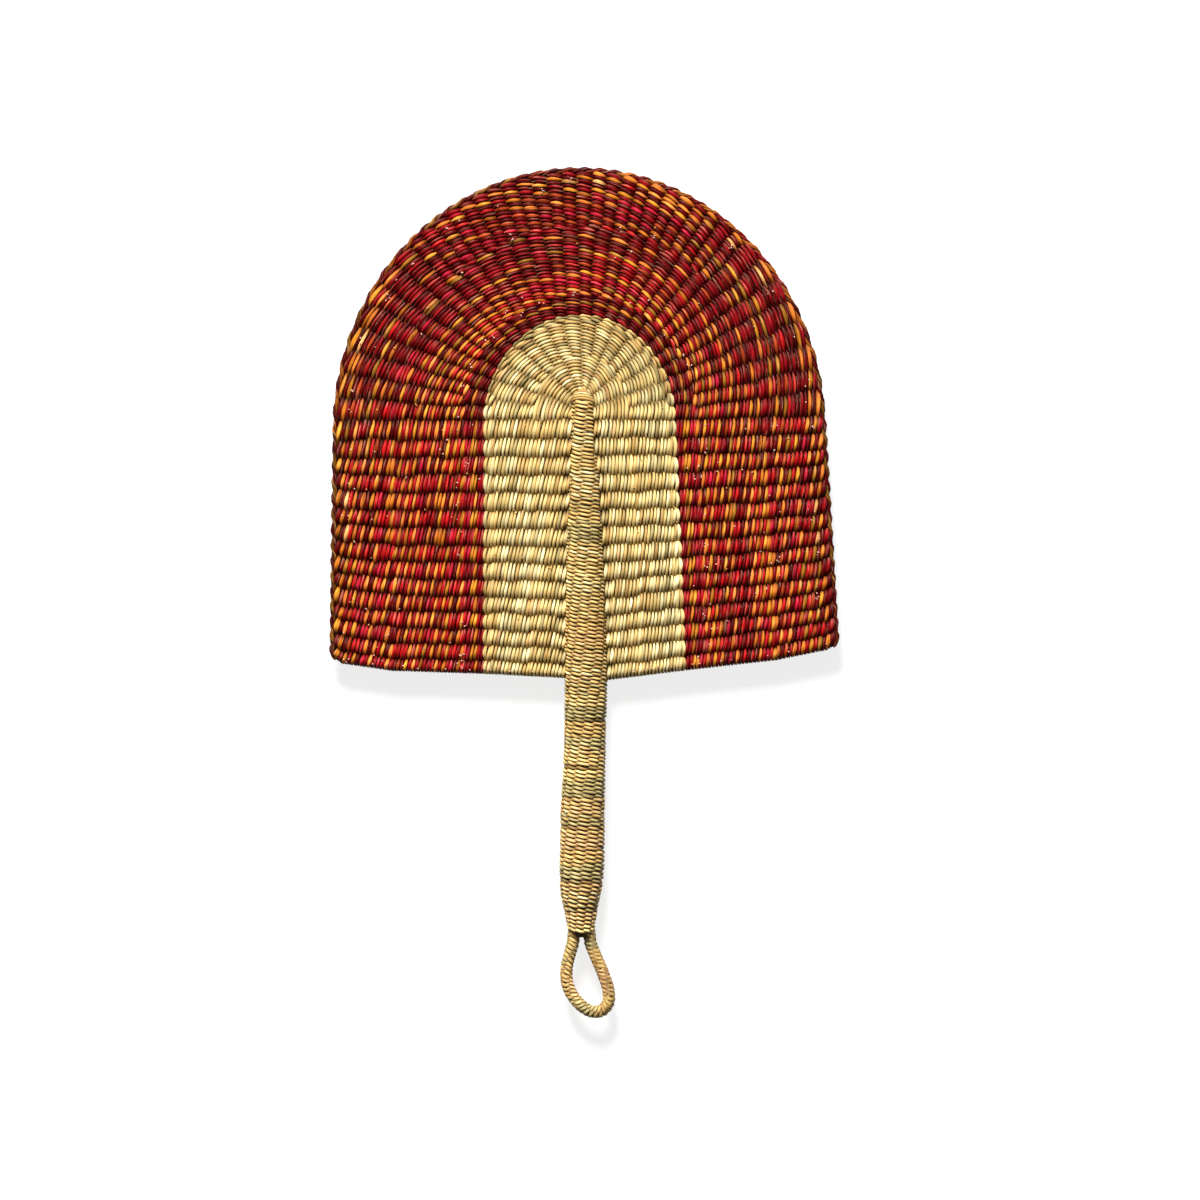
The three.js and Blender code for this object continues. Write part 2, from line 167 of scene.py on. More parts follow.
strandSection = {
    # across, up, tone; the first three are a straw, the groove and the other straw; the tones are painted shade
    # across the section, darkest on the edges and in the groove
    "points": [(0.58, 0.76, 1.0), (0.04, 0.46, 0.5), (-0.56, 0.8, 1.0), (-1.0, 0.0, 0.3), (-0.52, -0.78, 0.85),
               (0.52, -0.78, 0.85), (1.0, 0.0, 0.3)],
    "straws": [0, 2], "edges": [3, 6],  # which points these are
    "strawSpread": (0.36, 8, -2, 1.6),  # how unlike each other the two straws are, as uneven takes it
    "streakStart": 900,  # mm; each strand starts its streaks elsewhere
    "nearby": 33,  # stations before and after, over which a winding's own middle is taken
    "warmth": [1.0, 1.15, 1.45],  # how fast red, green and blue fall
}


def warmTone(tone):
    # painted shade: where a tone paints straw darker, green and blue fall faster than red, so the painted shade turns
    # a warm brown
    return np.clip(tone, 0.01, 2)[..., None] ** np.array(strandSection["warmth"])


def smoothNoise(count, rough):
    # slow, seeded unevenness of hand work along a course
    knots = np.arange(-1, count // rough + 3)
    return np.interp(np.arange(count) / rough, knots, chance.normal(0, 1, len(knots)))


def uneven(count, amount, rough, lowest=-np.inf, highest=np.inf):
    return amount * np.clip(smoothNoise(count, rough), lowest, highest)


def outwardOf(centres):
    # from the middle of a strand's turns nearby to the strand itself
    reach = strandSection["nearby"]
    padded = np.pad(centres, ((0, 0), (reach, reach), (0, 0)), mode="edge")
    sums = np.cumsum(padded, axis=1)
    middle = (sums[:, 2 * reach:] - sums[:, :-2 * reach]) / (2 * reach)
    return centres - middle


def level(x, y):
    return np.stack([x, y, 0 * x], axis=1)


def dyedPiece(name, mesh, colours):
    mesh.attributes.new("dye", "FLOAT_COLOR", "POINT").data.foreach_set("color", colours.ravel())
    piece = bpy.data.objects.new(name, mesh)
    bpy.context.scene.collection.objects.link(piece)
    return piece


def layStrands(name, centres, across, halfWidth, halfHeight, dyes, roll=0.0, edgeTones=None):
    # centres: strands x stations x 3 in mm; across: the way each strand's width points
    # halfHeight: the same for all; roll: how far each is turned about its own line, like a shingle whose
    # lower edge stands proud
    # edgeTones: how dark its two edges are painted at each station, painted shade for the small holes where strands
    # cross
    ways = np.gradient(centres, axis=1)
    ways /= np.linalg.norm(ways, axis=2, keepdims=True)
    flat = across - ways * np.sum(across * ways, axis=2, keepdims=True)
    flat /= np.linalg.norm(flat, axis=2, keepdims=True)
    up = np.cross(ways, flat)
    outward = up * np.sign(np.sum(up * outwardOf(centres), axis=2, keepdims=True)) if roll else up
    flat = flat * np.cos(roll) + outward * np.sin(roll)
    up = np.cross(ways, flat)
    section = np.array(strandSection["points"])
    sides = len(section)
    ring = (flat[:, :, None] * (section[:, :1] * halfWidth[..., None, None])
            + up[:, :, None] * (section[:, 1:2] * halfHeight))
    points = centres[:, :, None] + ring
    strands, stations = centres.shape[:2]
    index = np.arange(strands * stations * sides).reshape(strands, stations, sides)
    nextSide = np.roll(index, -1, axis=2)
    quads = np.stack([index[:, :-1], nextSide[:, :-1], nextSide[:, 1:], index[:, 1:]], axis=-1).reshape(-1, 4)
    caps = [list(row) for row in index[:, 0, ::-1]] + [list(row) for row in index[:, -1]]
    mesh = bpy.data.meshes.new(name)
    mesh.from_pydata((points.reshape(-1, 3) * mm).tolist(), [], quads.tolist() + caps)
    run = np.concatenate([np.zeros((strands, 1)),
                          np.cumsum(np.linalg.norm(np.diff(centres, axis=1), axis=2), axis=1)], axis=1)
    run += chance.uniform(0, strandSection["streakStart"], (strands, 1))
    side = np.arange(sides)
    uv = np.zeros((strands, stations - 1, sides, 4, 2), np.float32)
    uv[..., 0, 0] = uv[..., 1, 0] = run[:, :-1, None]
    uv[..., 2, 0] = uv[..., 3, 0] = run[:, 1:, None]
    uv[..., 0, 1] = uv[..., 3, 1] = side / sides
    uv[..., 1, 1] = uv[..., 2, 1] = (side + 1) / sides
    allUv = np.concatenate([uv.reshape(-1, 2), np.zeros((2 * strands * sides, 2), np.float32)])
    mesh.uv_layers.new(name="strand").data.foreach_set("uv", allUv.ravel())
    colours = np.ones((strands, stations, sides, 4), np.float32)
    # painted shade across each section, times the two straws' uneven takes and the painted shade at the edges
    crown = np.tile(section[:, 2], (strands, stations, 1))
    for strand in range(strands):
        for straw in strandSection["straws"]:
            crown[strand, :, straw] *= 1 + uneven(stations, *strandSection["strawSpread"])
    if edgeTones is not None:
        crown[:, :, strandSection["edges"]] *= edgeTones[:, :, None]
    colours[..., :3] = dyes[:, :, None] * warmTone(crown)
    mesh.shade_smooth()
    return dyedPiece(name, mesh, colours)


def finishPiece(piece, material, slot, *nodes):
    piece.data.materials.append(material)
    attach(piece, "root")
    if nodes:
        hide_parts(*nodes)


# the handle's line, and the blade's map from (radius, place) to (x, y) in the drawing

handle = {
    "top": 8.5, "gap": 0.6,  # between the handle's side and the blade's first course
    # height, middle line's x and half width
    "stations": [(8.5, -1.25, 5.7), (-12, -1.1, 6.4), (-32, -0.2, 7.9), (-77, 0, 10), (-125, 0.6, 11),
                 (-162, 0, 10.6), (-198, -1.2, 11.3), (-222, -1.5, 11.5), (-234, -1.9, 11),
                 (-241, -2.1, 9.8), (-247, -2, 8.5), (-254, -1.9, 7.2), (-260, -1.8, 6.6)],
}
blade = {
    "strawRadius": 47.5, "sideRibs": 15, "archRibs": 8,
    # the arch's middle at the plain straw's radius and at the edge, and how much taller than round it is
    "arch": [47.5, 124],
    "middleX": [-2.6, -2.9], "middleY": [-1.5, -6.5], "stretch": [5, 8],
    # the lower edge at growing radius, and how far the sides lean out on the way down to it
    "edgeRadii": [0, 47.5, 92.5, 117, 124],
    "edgeRight": [132, 126.5, 121.3, 116.3, 111.5], "edgeLeft": [130.5, 128.1, 126.6, 123, 117],
    "leanRight": [5.3, 6.9], "leanLeft": [0.2, 1.6],
    "topDrop": 10.0,  # how far below the handle's top its level rows begin
    "sagRight": 2.4, "sagLeft": 4.2,  # how far the middle rows lie below even spacing
    "sagPowers": (0.8, 0.5), "sagPeak": 0.42,  # the sag's curve down the handle, and that curve's own peak
    "fanRight": [0, 6.5], "fanLeft": [0, 3.6],  # how far the first level rows rise on their way to the edge
}
archStart, archEnd = blade["sideRibs"], blade["sideRibs"] + blade["archRibs"]
allRibs = archEnd + blade["sideRibs"]


def handleLine(y, column):
    stations = np.array(handle["stations"])[::-1]
    return np.interp(y, stations[:, 0], stations[:, column])


innerRadius = handleLine(handle["top"], 2) + handle["gap"]


def blend(radius, first, curve):
    share = (radius - innerRadius) / (blade["strawRadius"] - innerRadius)
    return np.where(share < 1, first + (curve[0] - first) * share, np.interp(radius, blade["arch"], curve))


def bladePoint(radius, place):
    middleX = blend(radius, handleLine(handle["top"], 1), np.array(blade["middleX"]))
    sideTop = handle["top"] - blade["topDrop"]
    middleY = blend(radius, sideTop, np.array(blade["middleY"]))
    height = radius + blend(radius, blade["topDrop"], np.array(blade["stretch"]))
    fanRight, fanLeft = [np.interp(radius, blade["arch"], blade[fan]) for fan in ("fanRight", "fanLeft")]
    angle = fanRight / height + (np.pi - (fanRight + fanLeft) / height) * (place - archStart) / blade["archRibs"]
    archX, archY = middleX + radius * np.cos(angle), middleY + height * np.sin(angle)
    onRight = place < allRibs / 2
    down = np.where(onRight, archStart - place, place - archEnd) / blade["sideRibs"]
    down = np.clip(down, 0, 1)
    sag = np.where(onRight, blade["sagRight"], blade["sagLeft"]) / blade["edgeLeft"][0]
    rising, falling = blade["sagPowers"]
    down = down + sag * down ** rising * (1 - down) ** falling / blade["sagPeak"]
    sign = np.where(onRight, 1.0, -1.0)
    firstDrop = np.where(onRight, blade["edgeRight"][0], blade["edgeLeft"][0])
    besideY = sideTop - (firstDrop + sideTop) * down
    besideX = handleLine(besideY, 1) + sign * (handleLine(besideY, 2) + handle["gap"])
    handleLean = sign * (besideX - handleLine(handle["top"], 1)) - innerRadius
    leans = [np.where(onRight, blade["leanRight"][i], blade["leanLeft"][i]) * down for i in (0, 1)]
    share = (radius - innerRadius) / (blade["strawRadius"] - innerRadius)
    outerShare = np.clip((radius - blade["arch"][0]) / (blade["arch"][1] - blade["arch"][0]), 0, 1)
    lean = np.where(share < 1, handleLean + (leans[0] - handleLean) * share,
                    leans[0] + (leans[1] - leans[0]) * outerShare)
    edge = -np.where(onRight, np.interp(radius, blade["edgeRadii"], blade["edgeRight"]),
                     np.interp(radius, blade["edgeRadii"], blade["edgeLeft"]))
    firstY = middleY + np.where(onRight, fanRight, fanLeft)
    sideX, sideY = middleX + sign * (radius + lean), firstY + (edge - firstY) * down
    inArch = (place > archStart) & (place < archEnd)
    return np.where(inArch, archX, sideX), np.where(inArch, archY, sideY)


# the twined blade

weave = {
    "crestHeight": 2.2, "crestRoundness": 0.74, "slant": 0.31, "crestWidth": 1.02, "valleyWidth": 0.76,
    "strawThickness": 1.4, "stepsPerRib": 6, "bow": 0.12, "plainArchHeight": 0.45, "dyedArchHeight": 0.76,
    # holeTone and plainArchEdges: painted shade on the strands' edges where they dive, the plain arch's edges darker
    # still
    "holeTone": 0.04, "plainArchEdges": 0.5, "proudCourse": 1.14, "seamCover": 1.18,
    "endTaper": 0.5, "endWidth": 0.55, "archBlend": 0.6,
    # hand-made unevenness: how much, over how many stations or courses it changes, and its limits
    "wobble": (0.13, 14, -1.5, 1.5), "rise": (0.05, 7), "width": (0.1, 6, -1, 2), "ribWander": (0.05, 5),
    "ribJitter": 0.035, "toneSpread": 0.17, "toneLimit": 2,
    "scallopSlant": 0.06, "scallopBow": 0.5,  # the last plain course, whose grains end in smooth arcs
    # painted shade and highlight: how dark a straw is painted where it dives, how light where it crests, and how fast
    # it darkens between
    "plainTones": (0.72, 1.34, 0.8), "plainArchTones": (0.62, 1.2, 0.8), "dyedTones": (0.4, 1.6, 1.0),
    "dyedArchTones": (0.5, 1.5, 1.0), "besideHandleTones": (0.1, 1.5, 1.4),
}
edgeProngs = [4, 4, 6, 6, 6, 6, 4, 4]
fields = [
    # name, node, inner and outer radius, prongs of each arch rib, strand pitch
    ("twined_straw_inner", "weft_straw_inner", innerRadius - 1.3, 24.0, [1] * 8, 1.85),
    ("twined_straw_outer", "weft_straw_outer", 24.0, 44.6, [2] * 8, 1.85),
    ("twined_straw_border", "weft_straw_outer", 44.2, 47.9, [3] * 8, 1.85),
    ("twined_crimson", "weft_crimson", 47.8, 58.0, [3] * 8, 1.75),
    ("twined_dyed_inner", "weft_dyed_inner", 57.6, 92.5, [4] * 8, 1.82),
    ("twined_dyed_outer", "weft_dyed_outer", 92.1, 120.9, edgeProngs, 2.05),
]
strawDyes = {
    "cream": "#f5de9e", "straw": "#eac97e", "gold straw": "#dcb268", "khaki": "#bda76a", "peach": "#e6b878",
    "gold": "#dc8824", "orange": "#e87c2c", "amber": "#c86c1a", "olive": "#a0661a", "rust": "#a03812",
    "red": "#ac1012", "deep red": "#8a0a10", "crimson": "#900a14", "pink": "#b4162c", "maroon": "#620405",
    "pale orange": "#f0a45c", "bare end": "#e6b8a2",
}
dyeTable = {name: np.array(linear(colour)[:3]) for name, colour in strawDyes.items()}
strawTones = (0.86, 1.1)


def pickRuns(count, choices, shortest, longest):
    # one strand is many straws laid end to end, and each has its own dye
    runs = np.zeros((count, 3))
    names, weights = zip(*choices)
    weights = np.array(weights, float) / sum(weights)
    at = 0
    while at < count:
        length = int(chance.integers(shortest, longest))
        colour = dyeTable[names[chance.choice(len(names), p=weights)]]
        runs[at:at + length] = colour * chance.uniform(*strawTones)
        at += length
    return runs


dyedPairs = [
    # the two straws of a course, and how often such a pair is used
    (("gold", "red"), 0.2), (("orange", "crimson"), 0.22), (("amber", "red"), 0.12), (("orange", "maroon"), 0.1),
    (("pink", "red"), 0.07), (("red", "maroon"), 0.1), (("olive", "crimson"), 0.05), (("gold", "amber"), 0.03),
    (("pink", "crimson"), 0.05), (("rust", "red"), 0.06),
]
archPairs = [
    (("amber", "maroon"), 0.08), (("orange", "maroon"), 0.06), (("rust", "maroon"), 0.17),
    (("olive", "maroon"), 0.03), (("deep red", "maroon"), 0.32), (("gold", "crimson"), 0.04),
    (("pink", "maroon"), 0.07), (("red", "maroon"), 0.07), (("amber", "deep red"), 0.06),
    (("crimson", "deep red"), 0.14),
]
edgePairs = [(("gold", "maroon"), 0.2), (("amber", "maroon"), 0.3), (("olive", "maroon"), 0.15),
             (("orange", "crimson"), 0.15), (("deep red", "maroon"), 0.2)]
dyedField = {
    "runs": (3, 13), "tones": (0.85, 1.15),  # how many ribs one pair of straws covers, and how dark it is
    "darkArchFrom": 60, "darkArchBlend": 25, "edgeFrom": 117.5,  # radii where the pairs change
    # the pale row of finishing stitches just inside the edge, and its two straws
    "finishRadius": 115.5, "finishReach": 1.1, "finishRuns": (1, 4),
    "finish": [[("pale orange", 2), ("gold", 1.5), ("orange", 2), ("olive", 1), ("red", 1)],
               [("crimson", 2), ("orange", 1), ("maroon", 3)]],
}


def dyedCourse(ribs, places, radius):
    colours = np.zeros((2, ribs, 3))
    if abs(radius - dyedField["finishRadius"]) < dyedField["finishReach"]:
        return np.stack([pickRuns(ribs, dyes, *dyedField["finishRuns"]) for dyes in dyedField["finish"]])
    at = 0
    while at < ribs:
        length = int(chance.integers(*dyedField["runs"]))
        inArch = archStart < places[min(at + length // 2, ribs - 1)] < archEnd
        dark = inArch and radius > dyedField["darkArchFrom"] + dyedField["darkArchBlend"] * chance.random()
        pairs = archPairs if dark else dyedPairs
        pairs = edgePairs if radius > dyedField["edgeFrom"] else pairs
        weights = np.array([weight for pair, weight in pairs])
        pair = pairs[chance.choice(len(pairs), p=weights / weights.sum())][0]
        for strand in (0, 1):
            colours[strand, at:at + length] = dyeTable[pair[strand]] * chance.uniform(*dyedField["tones"])
        at += length
    return colours


plainField = {
    "runs": (4, 14),
    "straws": [("cream", 4), ("straw", 7), ("gold straw", 2), ("khaki", 0.8), ("peach", 0.4)],
    # the arch's outermost courses are browner
    "brownStraws": [("khaki", 4), ("straw", 3), ("gold straw", 3), ("peach", 0.5)],
    "brownFrom": 40, "brownInset": 0.5,
}


def strawCourse(ribs, places, radius):
    pale, brown = [np.stack([pickRuns(ribs, plainField[kind], *plainField["runs"]) for strand in (0, 1)])
                   for kind in ("straws", "brownStraws")]
    inset = plainField["brownInset"]
    inArch = (places > archStart + inset) & (places < archEnd - inset)
    return np.where(inArch[None, :, None] & (radius > plainField["brownFrom"]), brown, pale)


crimsonBands = {
    # the two straws of each course next to the plain straw, beside the handle and over the arch
    "side": [("crimson", "crimson"), ("crimson", "red"), ("gold", "amber"), ("crimson", "gold"),
             ("pink", "crimson"), ("crimson", "red")],
    "arch": [("maroon", "crimson"), ("maroon", "maroon"), ("crimson", "maroon"), ("amber", "olive"),
             ("maroon", "maroon"), ("crimson", "maroon")],
    "tones": (0.78, 1.06),
}


def crimsonCourse(ribs, places, course):
    inArch = ((places > archStart) & (places < archEnd))[None, :, None]
    side, arch = [np.stack([np.repeat(dyeTable[name][None], ribs, 0) for name in crimsonBands[part][course]])
                  for part in ("side", "arch")]
    return np.where(inArch, arch, side) * chance.uniform(*crimsonBands["tones"], (2, ribs, 1))


def ribBorders(prongs):
    side = np.arange(blade["sideRibs"] + 1, dtype=float)
    arch = [archStart + k + (p + 1) / n for k, n in enumerate(prongs) for p in range(n)]
    return np.concatenate([side, arch, archEnd + side[1:]])


def weaveField(name, node, inner, outer, prongs, pitch, dyeCourse, material, slot):
    borders = ribBorders(prongs)
    ribs = len(borders) - 1
    courses = max(1, round((outer - inner) / pitch))
    pitch = (outer - inner) / courses
    steps = weave["stepsPerRib"]
    s = np.arange(ribs * steps + 1) / steps
    middles = (borders[:-1] + borders[1:]) / 2
    spans = np.minimum(np.diff(borders)[:-1], np.diff(borders)[1:])
    drift = np.array([uneven(courses, *weave["ribWander"]) for border in spans]).T * spans
    drift += chance.normal(0, weave["ribJitter"], drift.shape) * spans
    plain = dyeCourse is strawCourse
    kind = "plain" if plain else "dyed"
    centres, acrosses, widths, dyes, edgeTones = [], [], [], [], []
    for course in range(courses):
        radius = inner + (course + 0.5) * pitch
        courseBorders = borders + np.concatenate([[0], drift[course], [0]])
        place = np.interp(s, np.arange(ribs + 1), courseBorders)
        colours = dyeCourse(ribs, middles, course if dyeCourse is crimsonCourse else radius)
        wobble = uneven(len(s), *weave["wobble"])
        rise = 1 + uneven(len(s), *weave["rise"])
        inArch = np.clip(np.minimum(place - archStart, archEnd - place) / weave["archBlend"], 0, 1)[:, None]
        side, arch = np.array(weave[kind + "Tones"]), np.array(weave[kind + "ArchTones"])
        # the course beside the handle takes the darkest painted shade, for the shade in the gap beside the handle
        if radius < innerRadius + pitch:
            side = np.array(weave["besideHandleTones"])
        valley, crest, fall = (side + (arch - side) * inArch).T
        rise = rise * (1 - (1 - weave[kind + "ArchHeight"]) * inArch[:, 0])
        slant, bow = weave["slant"], weave["bow"]
        if name == "twined_straw_border" and course == courses - 1:
            rise = rise * weave["proudCourse"]
            slant, bow = weave["scallopSlant"], weave["scallopBow"]
        cover = weave["seamCover"] if course in (0, courses - 1) else 1  # wider, over the next field's edge
        for strand in (0, 1):
            phase = np.pi * (s - 0.5 + course + strand)
            over = np.cos(phase)
            share = np.abs(over)
            swing = radius + wobble + pitch * (slant * np.sin(phase) + bow * (share - 0.5))
            x, y = bladePoint(swing, place)
            xOut, yOut = bladePoint(swing + 0.5, place)  # half a unit out, so stretch gives half widths
            lift = np.sign(over) * share ** weave["crestRoundness"] * weave["crestHeight"] * rise
            ends = np.clip(np.minimum(s, ribs - s) / weave["endTaper"], 0, 1) ** 0.5
            centres.append(np.stack([x, y, lift * ends], axis=1))
            outward = level(xOut - x, yOut - y)
            stretch = np.linalg.norm(outward, axis=1)
            acrosses.append(outward / stretch[:, None])
            wide = (weave["valleyWidth"] + (weave["crestWidth"] - weave["valleyWidth"]) * share) * pitch * stretch
            wide = wide * (1 + uneven(len(s), *weave["width"]))
            widths.append(wide * (weave["endWidth"] + (1 - weave["endWidth"]) * ends) * cover)
            # painted shade on the edges where strands dive, painted shade in the valleys and painted highlight on the
            # crests along each strand
            edges = weave["holeTone"] + (1 - weave["holeTone"]) * share
            edgeTones.append(edges * (1 - weave["plainArchEdges"] * inArch[:, 0] * plain))
            ribOf = np.clip(np.floor(s + 1e-6).astype(int), 0, ribs - 1)
            tone = valley + (crest - valley) * share ** fall
            spread = np.clip(chance.normal(0, 1, ribs), -weave["toneLimit"], weave["toneLimit"])
            tone = tone * (1 + weave["toneSpread"] * spread)[ribOf]
            dyes.append(colours[strand][ribOf] * warmTone(tone))
    piece = layStrands(name, np.array(centres) + intoFrame, np.array(acrosses), np.array(widths),
                       weave["strawThickness"] / 2, np.array(dyes), edgeTones=np.array(edgeTones))
    finishPiece(piece, material, slot, node)
    print(name, "has", courses, "courses over", ribs, "ribs")


plainStraw = strawMaterial("undyed elephant grass straw", streakDark=0.62, streakLight=1.3, bareShare=0.2, gloss=0.24)
# dyed straw: its light and pale streaks are partly undyed fibres and partly painted sheen, its gloss kept low
dyedStraw = strawMaterial("dyed elephant grass straw", streakDark=0.26, streakLight=1.62, bareShare=0.34, gloss=0.1)
fieldDyes = ([(strawCourse, plainStraw, "straw")] * 3 + [(crimsonCourse, dyedStraw, "crimson_straw")]
             + [(dyedCourse, dyedStraw, "dyed_straw")] * 2)
for field, (dyeCourse, material, slot) in zip(fields, fieldDyes):
    weaveField(*field, dyeCourse, material, slot)


# the cord round the blade's edge: two dyed straws laid round each other

edgeCord = {
    "radius": 122.2, "turnLength": 15.0, "layRadius": 0.6, "halfWidth": 1.15, "halfHeight": 0.95,
    # edgeTone: how much lighter the painted shade on the cord straws' edges is made
    "stepsPerTurn": 14, "stations": 2400, "cornerInset": 2.4, "cornerRibs": 0.36, "edgeTone": 1.7,
    "wave": 0.7,  # how far it dips between two ribs
    "straws": [([("amber", 3), ("olive", 4), ("rust", 1)], 0.8), ([("maroon", 6), ("crimson", 2)], 1.0)],
    "runs": (20, 60),
}


def layEdgeCord():
    path = np.linspace(0, allRibs, edgeCord["stations"])
    toCorner = 1 - np.clip(np.minimum(path, allRibs - path) / edgeCord["cornerRibs"], 0, 1)
    borders = ribBorders(fields[-1][4])
    dip = np.cos(np.pi * np.interp(path, borders, np.arange(len(borders)))) ** 2 * edgeCord["wave"] * (1 - toCorner)
    x, y = bladePoint(edgeCord["radius"] - edgeCord["cornerInset"] * toCorner ** 2 - dip, path)
    length = np.concatenate([[0], np.cumsum(np.hypot(np.diff(x), np.diff(y)))])
    turns = round(length[-1] / edgeCord["turnLength"])
    even = np.linspace(0, length[-1], turns * edgeCord["stepsPerTurn"] + 1)
    x, y = np.interp(even, length, x), np.interp(even, length, y)
    ways = np.stack([np.gradient(x), np.gradient(y)], axis=1)
    ways /= np.linalg.norm(ways, axis=1, keepdims=True)
    outward = level(ways[:, 1], -ways[:, 0])
    centres, acrosses, dyes = [], [], []
    turn = 2 * np.pi * turns * even / length[-1]
    for strand, (palette, tone) in enumerate(edgeCord["straws"]):
        angle = turn + np.pi * strand
        spoke = outward * np.cos(angle)[:, None] + upward * np.sin(angle)[:, None]
        centres.append(level(x, y) + spoke * edgeCord["layRadius"])
        acrosses.append(outward * -np.sin(angle)[:, None] + upward * np.cos(angle)[:, None])
        dyes.append(pickRuns(len(x), palette, *edgeCord["runs"]) * tone)
    shape = (2, len(x))
    piece = layStrands("edge_cord", np.array(centres) + intoFrame, np.array(acrosses),
                       np.full(shape, edgeCord["halfWidth"]), edgeCord["halfHeight"], np.array(dyes),
                       edgeTones=np.full(shape, edgeCord["edgeTone"]))
    finishPiece(piece, dyedStraw, "rim_straw", "rim_border")


layEdgeCord()
print("edge cord is laid")


# twining round a middle line: two straws pass in turn over each stalk, so that short slanting grains
# stand in columns with a dark slot under each; the handle and the loop are both made this way

twining = {
    "crestRoundness": 0.7, "floorGap": 0.05, "seamShade": 0.6,
    # hand-made unevenness: how much, and over how many stations it changes
    "phaseNoise": (0.12, 7), "liftNoise": (0.1, 9), "runNoise": (0.12, 30), "widthNoise": (0.1, 6),
    "toneNoise": 0.1,
}


def atHeight(table, heights):
    places, values = zip(*table)
    return np.interp(heights, places, values)


def twineRound(middle, ways, beside, radii, pitch, angle, look, seam=0.0):
    s = np.arange(len(angle)) / look["stepsPerStalk"]
    spoke = beside * np.sin(angle)[:, None] + upward * np.cos(angle)[:, None]
    lowest = look["thickness"] / 2 + twining["floorGap"]
    strands = []
    for strand in (0, 1):
        phaseNoise, liftNoise, runNoise = [uneven(len(s), *twining[kind])
                                           for kind in ("phaseNoise", "liftNoise", "runNoise")]
        phase = np.pi * (s - 0.5 + strand + phaseNoise)
        over = np.cos(phase)
        share = np.abs(over)
        lift = np.sign(over) * share ** twining["crestRoundness"] * look["crest"] * (1 + liftNoise)
        run = look["slant"] * pitch * np.sin(phase) + runNoise
        run = run + atHeight(look["sag"], middle[:, 1]) * np.cos(angle)
        reach = radii - look["thickness"] / 2 - look["crest"] + lift - look["seamDepth"] * seam
        line = middle + ways * run[:, None] + spoke * reach[:, None] + intoFrame
        line[:, 2] = np.maximum(line[:, 2], lowest)
        wide = (look["valleyWidth"] + (look["crestWidth"] - look["valleyWidth"]) * share) * pitch / 2
        # painted shade on the edges where a straw dives, painted shade and highlight from valley to crest, and
        # painted shade in the seams
        edges = look["holeTone"] + (1 - look["holeTone"]) * share
        tone = look["valleyTone"] + (look["crestTone"] - look["valleyTone"]) * share
        tone = tone * (1 - twining["seamShade"] * seam)
        tone = tone * (1 + uneven(len(s), twining["toneNoise"], look["stepsPerStalk"]))
        # a tone painted by height; at the neck it is painted light against the shade on its taper
        tone = tone * atHeight(look["paintedToneByHeight"], middle[:, 1])
        wide = wide * (1 + uneven(len(s), *twining["widthNoise"]))
        strands.append((line, wide, bandDyes(middle[:, 1], look) * warmTone(tone), edges))
    return strands


bandStraws = {
    "plain": [("straw", 7), ("gold straw", 3), ("cream", 2), ("peach", 0.5), ("khaki", 0.8)],
    "khaki": [("khaki", 7), ("gold straw", 2)],
    "peach": [("peach", 5), ("gold straw", 2)],
    "golden": [("gold straw", 5), ("straw", 4), ("peach", 1.2)],
    "pale": [("cream", 1), ("straw", 4), ("peach", 2), ("gold straw", 2)],
}


def bandDyes(heights, look):
    # the straw's colour changes with each new bundle, going down
    dyes = {band: pickRuns(len(heights), straws, *look["strawSteps"]) for band, straws in bandStraws.items()}
    picked = dyes["plain"].copy()
    for top, bottom, band in look["bands"]:
        inside = (heights < top) & (heights >= bottom)
        picked[inside] = dyes[band][inside]
    return picked


# the handle's twining, each turn a pitch lower than the last

binding = {
    "startAbove": 1.4, "stopAbove": 0.4,
    # how many stalks a turn passes over, down to each height
    "stalks": [(-30, 5.04), (-52, 7.04), (-80, 9.04), (-300, 11.05)],
    "slant": 0.21, "crest": 0.6, "roll": 0.42, "thickness": 1.1, "crestWidth": 0.84, "valleyWidth": 0.82,
    # valleyTone, crestTone and holeTone: painted shade where a straw dives, painted highlight where it crests,
    # painted shade at the holes
    "stepsPerStalk": 6, "valleyTone": 0.78, "crestTone": 1.5, "holeTone": 0.05, "seamDepth": 0.4, "seamWidth": 0.72,
    "strawSteps": (110, 380), "seamLines": [-174.2, -189.5, -215.5],
    # at these heights, how far the front of a turn hangs below its sides, and how much lighter or darker it is
    # painted; at the neck this is painted light against the shade its taper gets
    "sag": [(-258, 3.0), (-242, 0.9), (-12, 0.9), (8, 0.0)],
    "paintedToneByHeight": [(-256, 1.42), (-238, 1.1), (-160, 1.08), (-120, 0.9)],
    # top, bottom and straws of each bundle that isn't plain
    "bands": [(-40, -46.5, "khaki"), (-55, -62, "khaki"), (-131.5, -137.5, "khaki"), (-137.5, -143.5, "golden"),
              (-143.5, -151, "khaki"), (-151, -159.5, "peach"), (-159.5, -166, "khaki"), (-166, -180.5, "golden"),
              (-180.5, -189.5, "khaki"), (-189.5, -197.5, "peach"), (-197.5, -204, "khaki"), (-204, -215.5, "peach"),
              (-215.5, -223, "golden"), (-223, -231, "khaki"), (-231, -242, "pale"), (-241, -246, "khaki"),
              (-246, -264, "pale")],
    # piece, node, its upper and lower end and its pitch
    "lengths": [("handle_twining_blade", "binding_blade", 8.5, -151, 1.9),
                ("handle_twining_upper", "binding_grip_upper", -151, -204, 2.0),
                ("handle_twining_middle", "binding_grip_middle", -204, -231, 2.05),
                ("handle_twining_lower", "binding_grip_lower", -231, -246, 2.0),
                ("handle_twining_neck", "binding_neck", -246, -255.6, 1.8)],
}


